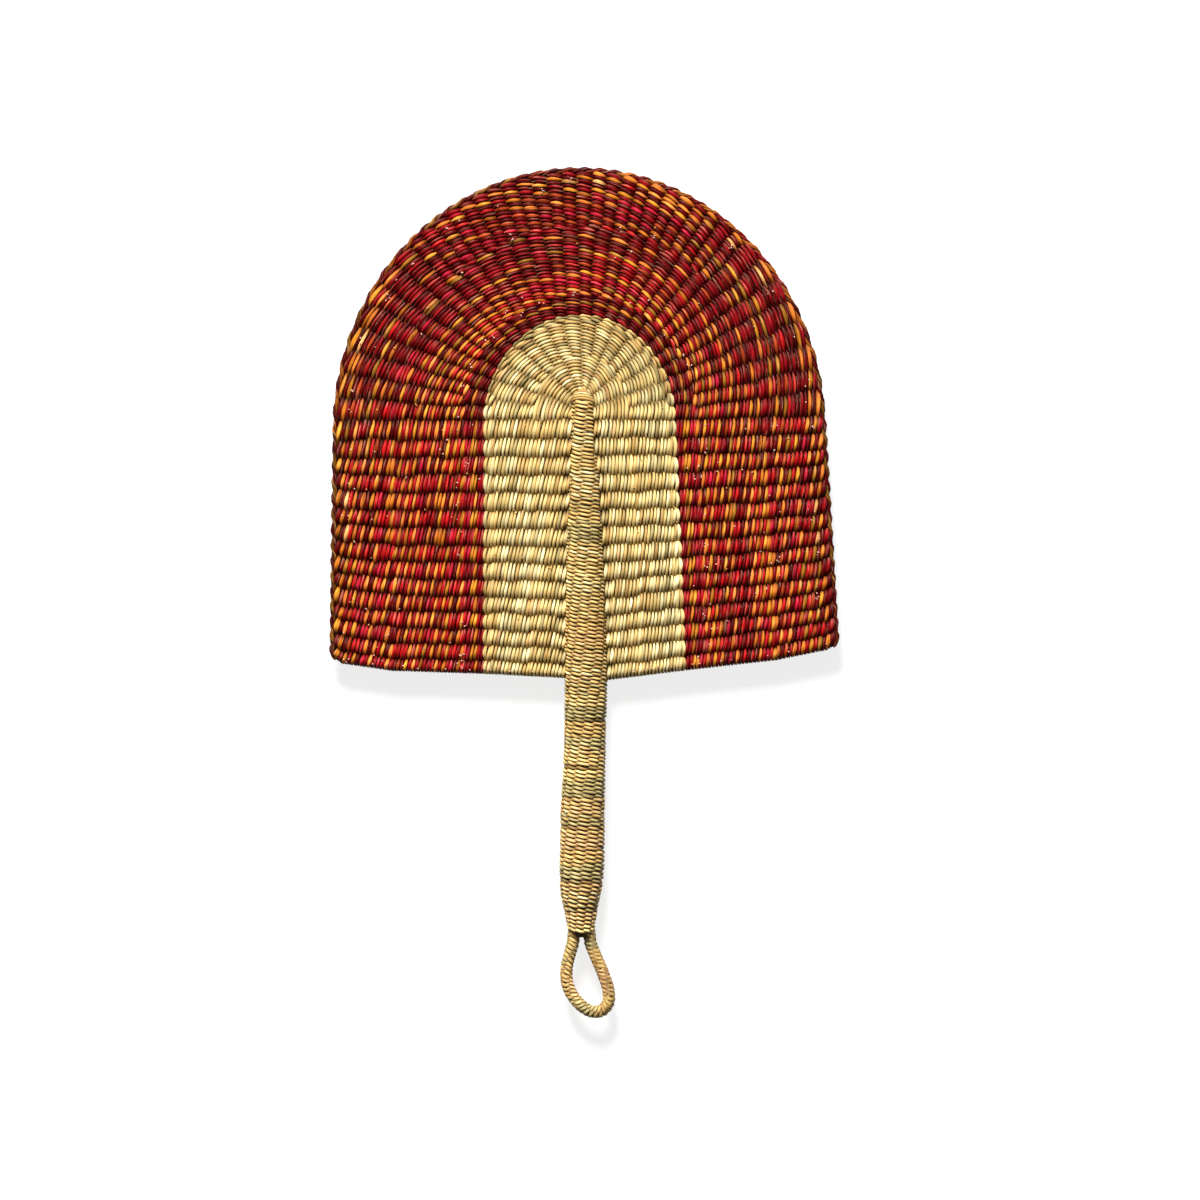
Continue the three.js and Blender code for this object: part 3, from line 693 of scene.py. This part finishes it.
def twineHandle():
    seams = np.array([length[3] for length in binding["lengths"][:-1]] + binding["seamLines"])
    pitches = np.array([[length[2], length[4]] for length in binding["lengths"]])
    heights, turned = [binding["lengths"][0][2] + binding["startAbove"]], [-0.5]
    while heights[-1] > binding["lengths"][-1][3] + binding["stopAbove"]:
        pitch = pitches[np.searchsorted(-pitches[:, 0], -heights[-1], side="right") - 1, 1]
        stalks = next(count for bottom, count in binding["stalks"] if heights[-1] > bottom)
        turned.append(turned[-1] + 1 / (stalks * binding["stepsPerStalk"]))
        heights.append(heights[-1] - pitch * (turned[-1] - turned[-2]))
    heights, turned = np.array(heights), np.array(turned)
    count = len(heights)
    middle = level(handleLine(heights, 1), heights)
    seam = np.exp(-(np.abs(heights[:, None] - seams).min(axis=1) / binding["seamWidth"]) ** 2)
    strands = twineRound(middle, np.tile([0.0, -1.0, 0.0], (count, 1)), np.tile([1.0, 0.0, 0.0], (count, 1)),
                         handleLine(heights, 2), -np.gradient(heights) / np.gradient(turned),
                         2 * np.pi * turned, binding, seam)
    for name, node, top, bottom, _ in binding["lengths"]:
        first = max(0, np.searchsorted(-heights, -top) - 1)
        last = np.searchsorted(-heights, -bottom)
        cut = [[part[first:last] for part in strand] for strand in strands]
        lines, widths, dyes, edges = [np.array([strand[i] for strand in cut]) for i in range(4)]
        piece = layStrands(name, lines, np.tile([0.0, -1.0, 0.0], lines.shape[:2] + (1,)), widths,
                           binding["thickness"] / 2, dyes, binding["roll"], edges)
        finishPiece(piece, plainStraw, "straw", node)


twineHandle()
print("handle is twined")


# the handle's top: short twined arcs that close over the stalks' upper ends, front and back

topArcs = {
    # half width, height above the handle's top and rise of each arc
    "arcs": [(5.7, 0.8, 3.7), (5.3, 2.15, 3.3), (4.3, 3.5, 2.7), (2.6, 4.75, 1.8)],
    "bow": 2.2, "pairGap": 0.3, "swell": 0.3, "thickness": 1.3, "width": 1.4, "narrowest": 0.7,
    # tones: painted shade where an arc's straw dives and painted highlight where it crests
    "overrun": 0.07854, "stations": 31, "tones": (0.4, 1.3), "outwardLean": 0.3, "runs": (20, 60),
    "straws": [("straw", 4), ("gold straw", 3), ("cream", 1)],
}


def capHandle():
    s = np.linspace(0, 1, topArcs["stations"])
    angle = np.linspace(-topArcs["overrun"], np.pi + topArcs["overrun"], len(s))
    darkest, lightest = topArcs["tones"]
    lines, acrosses, widths, dyes = [], [], [], []
    for face in (1, -1):
        for course, (radius, height, rise) in enumerate(topArcs["arcs"]):
            for strand in (0, 1):
                phase = np.pi * (s - 0.5 + course + strand)
                share = np.abs(np.cos(phase))
                x = handleLine(handle["top"], 1) + radius * np.cos(angle)
                y = handle["top"] + height + topArcs["bow"] * (np.sin(angle) - 1) + topArcs["pairGap"] * np.sin(phase)
                lift = face * (rise * np.clip(np.sin(angle), 0, 1) ** 0.5 + topArcs["swell"] * np.cos(phase))
                lines.append(np.stack([x, y, lift], axis=1))
                acrosses.append(np.tile([0.0, 1.0, topArcs["outwardLean"] * face], (len(s), 1)))
                widths.append((topArcs["narrowest"] + (1 - topArcs["narrowest"]) * share) * topArcs["width"] / 2)
                # painted shade and highlight along each arc
                dyes.append(pickRuns(len(s), topArcs["straws"], *topArcs["runs"])
                            * warmTone(darkest + (lightest - darkest) * share))
    piece = layStrands("handle_top_arcs", np.array(lines) + intoFrame, np.array(acrosses), np.array(widths),
                       topArcs["thickness"] / 2, np.array(dyes))
    finishPiece(piece, plainStraw, "straw")


capHandle()
print("handle's top is closed")


# cut straw ends: where a new straw joins, its end stands out of the weave

cutEnd = {
    "radius": 0.34, "length": 2.0, "wall": 0.12, "hollow": 0.3, "sides": 8, "sizes": (0.75, 1.15),
    "sunk": 0.9,  # how far its middle lies below the weave's crests
    # insideTone: painted shade inside the hollow end; outsideTone: the outside a little lighter
    "tilts": (0.1, 0.7), "tones": (0.9, 1.15), "insideTone": 0.45, "outsideTone": 1.1, "slack": 0.05,
    # rows where new stalks were put in, and the blade's edge: radius, prongs and how many ribs have a bunch
    "rows": [(60.0, [4] * 8, 0.5), (94.0, edgeProngs, 0.25), (114.5, edgeProngs, 0.4)],
    # where a bunch stands on its rib, how many ends it has, and how far bunches stray from their row and
    # ends from their bunch, across the rows and in rib widths
    "bunchPlace": (0.3, 0.65), "bunchEnds": (1, 4), "bunchSpread": (1.2, 1.0, 0.1),
    # along the lower edge on both sides of the handle: radii from, to and step, and how far from the edge
    "lowerRadii": (12, 117, 3.6), "lowerInset": 0.42, "lowerOdds": 0.4, "lowerSpread": (1, 0.1),
    # strays: how many, from which radius, over how much of it, how crowded outwards, and in which dyes
    "strays": 70, "strayFrom": 50, "strayReach": 66, "strayCrowding": 0.8, "strayInset": 0.4,
    "strayDyes": ("bare end", "bare end", "pale orange"),
    "plainStrays": 26, "plainReach": (12, 46), "plainInset": 0.5,
}


def oneCutEnd():
    # a hollow stem cut square, modelled once at its size
    bpy.ops.mesh.primitive_cylinder_add(vertices=cutEnd["sides"], radius=cutEnd["radius"] * mm,
                                        depth=cutEnd["length"] * mm)
    stem = bpy.context.object
    for face in stem.data.polygons:
        face.select = face.normal.z > 0.9  # the upper end
    bpy.ops.object.mode_set(mode="EDIT")
    bpy.ops.mesh.select_mode(type="FACE")
    bpy.ops.mesh.inset(thickness=cutEnd["wall"] * mm)
    bpy.ops.mesh.extrude_region_move(TRANSFORM_OT_translate={"value": (0, 0, -cutEnd["hollow"] * mm)})
    bpy.ops.object.mode_set(mode="OBJECT")
    points = np.array([vertex.co[:] for vertex in stem.data.vertices]) / mm
    faces = [list(face.vertices) for face in stem.data.polygons]
    bpy.data.objects.remove(stem)
    return points, faces


def cutEndPlaces():
    # small bunches on the rows where new stalks were put in and along the edge, strays all over
    places = []
    rowSpread, endSpread, ribSpread = cutEnd["bunchSpread"]
    for radius, prongs, odds in cutEnd["rows"]:
        borders = ribBorders(prongs)
        for low, high in zip(borders[:-1], borders[1:]):
            if chance.random() > odds:
                continue
            middle = low + (high - low) * chance.uniform(*cutEnd["bunchPlace"])
            outward = radius + chance.normal(0, rowSpread)
            for one in range(int(chance.integers(*cutEnd["bunchEnds"]))):
                places.append((outward + chance.normal(0, endSpread),
                               middle + (high - low) * chance.normal(0, ribSpread), "bare end"))
    inset, (outSpread, alongSpread) = cutEnd["lowerInset"], cutEnd["lowerSpread"]
    for radius in np.arange(*cutEnd["lowerRadii"]):
        for end in (inset, allRibs - inset):
            if chance.random() < cutEnd["lowerOdds"]:
                places.append((radius + chance.uniform(-outSpread, outSpread),
                               end + chance.uniform(-alongSpread, alongSpread), "bare end"))
    dyes, inset = cutEnd["strayDyes"], cutEnd["strayInset"]
    for stray in range(cutEnd["strays"]):
        radius = cutEnd["strayFrom"] + cutEnd["strayReach"] * chance.random() ** cutEnd["strayCrowding"]
        places.append((radius, chance.uniform(inset, allRibs - inset), dyes[stray % len(dyes)]))
    inset = cutEnd["plainInset"]
    for stray in range(cutEnd["plainStrays"]):
        places.append((chance.uniform(*cutEnd["plainReach"]), chance.uniform(inset, allRibs - inset), "gold straw"))
    return places


def addCutEnds():
    shape, faces = oneCutEnd()
    count = len(shape)
    # the hollow's inside gets painted shade
    inside = (shape[:, 2] < cutEnd["length"] / 2 - cutEnd["slack"]) & (
        np.hypot(shape[:, 0], shape[:, 1]) < cutEnd["radius"] - cutEnd["slack"])
    tones = np.where(inside, cutEnd["insideTone"], cutEnd["outsideTone"])[:, None]
    crest = weave["crestHeight"] + weave["strawThickness"] / 2
    allPoints, allFaces, allDyes = [], [], []
    for radius, place, dye in cutEndPlaces():
        x, y = bladePoint(np.array(radius), np.array(place))
        tilt, heading = chance.uniform(*cutEnd["tilts"]), chance.uniform(0, 2 * np.pi)
        top = np.array([np.sin(tilt) * np.cos(heading), np.sin(tilt) * np.sin(heading), np.cos(tilt)])
        side = np.cross(top, [0.3, -0.5, 0.8])  # any way that isn't along the stem
        side /= np.linalg.norm(side)
        turned = shape @ np.array([side, np.cross(top, side), top]) * chance.uniform(*cutEnd["sizes"])
        foot = intoFrame + [float(x), float(y), crest - cutEnd["sunk"]]
        allFaces += [[v + len(allPoints) * count for v in face] for face in faces]
        allPoints.append(turned + foot)
        allDyes.append(dyeTable[dye] * chance.uniform(*cutEnd["tones"]) * tones)
    mesh = bpy.data.meshes.new("cut_straw_ends")
    mesh.from_pydata((np.concatenate(allPoints) * mm).tolist(), [], allFaces)
    mesh.uv_layers.new(name="strand")
    colours = np.ones((len(allPoints) * count, 4), np.float32)
    colours[:, :3] = np.concatenate(allDyes)
    finishPiece(dyedPiece("cut_straw_ends", mesh, colours), plainStraw, "dyed_straw")
    print("cut straw ends:", len(allPoints))


addCutEnds()


# the hanging loop: a bent stalk core wound with straw

loop = {
    "outside": 3.25, "pitch": 2.1, "endGap": 0.5,
    "stalks": 4.12, "slant": 0.3, "crest": 0.16, "roll": 0.25, "thickness": 0.8, "crestWidth": 0.84,
    # valleyTone, crestTone and holeTone: painted shade where a straw dives, painted highlight where it crests,
    # painted shade at the holes
    "valleyWidth": 0.8, "stepsPerStalk": 6, "valleyTone": 0.8, "crestTone": 1.6, "holeTone": 0.1, "seamDepth": 0.0,
    "sag": [(0, 0.0)], "paintedToneByHeight": [(0, 1.0)], "strawSteps": (30, 160),
    "bands": [(-258, -266, "khaki"), (-275, -290, "peach"), (-294, -302, "khaki")],
    # the first and last two points lie inside the neck
    "route": [(-4.9, -252.5), (-5.5, -257.4), (-5.8, -260.4), (-5.9, -262.2), (-7.3, -267.3), (-9.2, -275.5),
              (-9, -282.5), (-6.5, -288.8), (-2.2, -294), (3.2, -297.2), (8.3, -296.8), (11.6, -292.8), (11.8, -287),
              (9.1, -278.2), (4.9, -268.5), (2.6, -262.2), (2.4, -260.4), (2.1, -257.4), (1.4, -252.5)],
}


def smoothRoute(route, perSpan=40):
    # the same rounded line through the route's points as the loop's core takes
    points = np.array(route, float)
    ends = np.concatenate([[2 * points[0] - points[1]], points, [2 * points[-1] - points[-2]]])
    line = []
    for a, b, c, d in zip(ends[:-3], ends[1:-2], ends[2:-1], ends[3:]):
        knots = np.cumsum([0] + [np.linalg.norm(q - p) ** 0.5 for p, q in ((a, b), (b, c), (c, d))])
        t = np.linspace(knots[1], knots[2], perSpan, endpoint=False)[:, None]
        ab = (knots[1] - t) / (knots[1] - knots[0]) * a + (t - knots[0]) / (knots[1] - knots[0]) * b
        bc = (knots[2] - t) / (knots[2] - knots[1]) * b + (t - knots[1]) / (knots[2] - knots[1]) * c
        cd = (knots[3] - t) / (knots[3] - knots[2]) * c + (t - knots[2]) / (knots[3] - knots[2]) * d
        abc = (knots[2] - t) / (knots[2] - knots[0]) * ab + (t - knots[0]) / (knots[2] - knots[0]) * bc
        bcd = (knots[3] - t) / (knots[3] - knots[1]) * bc + (t - knots[1]) / (knots[3] - knots[1]) * cd
        line.append((knots[2] - t) / (knots[2] - knots[1]) * abc + (t - knots[1]) / (knots[2] - knots[1]) * bcd)
    return np.concatenate(line + [points[-1:]])


def windLoop():
    line = smoothRoute(loop["route"])
    length = np.concatenate([[0], np.cumsum(np.linalg.norm(np.diff(line, axis=0), axis=1))])
    turns = round((length[-1] - 2 * loop["endGap"]) / loop["pitch"])
    stepsPerTurn = loop["stalks"] * loop["stepsPerStalk"]
    count = round(turns * stepsPerTurn) + 1
    even = np.linspace(loop["endGap"], length[-1] - loop["endGap"], count)
    x, y = np.interp(even, length, line[:, 0]), np.interp(even, length, line[:, 1])
    ways = level(np.gradient(x), np.gradient(y))
    ways /= np.linalg.norm(ways, axis=1, keepdims=True)
    beside = level(-ways[:, 1], ways[:, 0])
    strands = twineRound(level(x, y), ways, beside, np.full(count, loop["outside"]),
                         np.full(count, loop["pitch"]), 2 * np.pi * np.arange(count) / stepsPerTurn, loop)
    lines, widths, dyes, edges = [np.array([strand[i] for strand in strands]) for i in range(4)]
    piece = layStrands("loop_winding", lines, np.array([ways, ways]), widths, loop["thickness"] / 2, dyes,
                       loop["roll"], edges)
    finishPiece(piece, plainStraw, "straw", "loop_wrap")


windLoop()
print("loop is wound")


# the stalks inside the handle, the loop and the blade's ribs

# light and dark: the stalk's mottle, both darkened as painted shade
stalkFinish = {"light": "#6a4a20", "dark": "#38220c", "fibresPerMetre": 900, "roughness": 0.6,
               "bump": 0.3, "bumpDepth": 0.0002}


def stalkMaterial(name):
    # whole grass stalk inside the twining, its colour darkened as painted shade for the gaps it shows through: a dull
    # skin, mottled about every millimetre
    material, tree = newMaterial(name)
    place = addNode(tree, "ShaderNodeTexCoord")
    fibres = addNode(tree, "ShaderNodeTexNoise", links={"Vector": place.outputs["Object"]},
                     values={"Scale": stalkFinish["fibresPerMetre"], "Detail": 3.0})
    tones = addNode(tree, "ShaderNodeMix", {"data_type": "RGBA"}, links={"Factor": fibres.outputs["Fac"]})
    tones.inputs[6].default_value = linear(stalkFinish["dark"])
    tones.inputs[7].default_value = linear(stalkFinish["light"])
    bump = addNode(tree, "ShaderNodeBump",
                   values={"Strength": stalkFinish["bump"], "Distance": stalkFinish["bumpDepth"]},
                   links={"Height": fibres.outputs["Fac"]})
    skin = addNode(tree, "ShaderNodeBsdfPrincipled", values={"Roughness": stalkFinish["roughness"]},
                   links={"Base Color": tones.outputs[2], "Normal": bump.outputs[0]})
    addNode(tree, "ShaderNodeOutputMaterial", links={"Surface": skin.outputs[0]})
    return material


stalk = stalkMaterial("grass stalk darkened as painted shade")
for name in ("handle_core", "loop_core"):
    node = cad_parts[name]
    node.data.materials.clear()
    node.data.materials.append(stalk)

ribStalk = {
    "share": 0.34,  # half its width, as a share of its rib's
    "halfThickness": 0.9, "stations": 24, "innerEnd": innerRadius - 0.8, "outerEnd": 119.5, "ribEdge": 1e-4,
}


def layRibStalks():
    # flat bundles that the courses pass over and under, split in the arch where the ribs are
    groups = {"right": [], "arch": [], "left": []}
    innerEnd, outerEnd, ribEdge = [ribStalk[part] for part in ("innerEnd", "outerEnd", "ribEdge")]
    for start in range(blade["sideRibs"]):
        groups["right"].append((innerEnd, outerEnd, start, start + 1))
        groups["left"].append((innerEnd, outerEnd, archEnd + start, archEnd + start + 1))
    for _, _, inner, outer, prongs, _ in fields:
        borders = ribBorders(prongs)
        for low, high in zip(borders[:-1], borders[1:]):
            if archStart <= low < archEnd:
                groups["arch"].append((max(inner, innerEnd), min(outer, outerEnd), low, high))
    for side, stalks in groups.items():
        lines, acrosses, widths = [], [], []
        for inner, outer, low, high in stalks:
            radii = np.linspace(inner, outer, ribStalk["stations"])
            (lowX, lowY), (x, y), (highX, highY) = [
                bladePoint(radii, np.full(len(radii), place))
                for place in (low + ribEdge, (low + high) / 2, high - ribEdge)]
            lines.append(level(x, y))
            across = level(highX - lowX, highY - lowY)
            span = np.linalg.norm(across, axis=1)
            acrosses.append(across / span[:, None])
            widths.append(span * ribStalk["share"])
        widths = np.array(widths)
        brown = np.tile(linear(stalkFinish["light"])[:3], widths.shape + (1,))
        piece = layStrands("stalks_" + side, np.array(lines) + intoFrame, np.array(acrosses), widths,
                           ribStalk["halfThickness"], brown)
        finishPiece(piece, stalk, "stalk", *[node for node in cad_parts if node.startswith("spoke_" + side)])


layRibStalks()
print("stalks are laid")
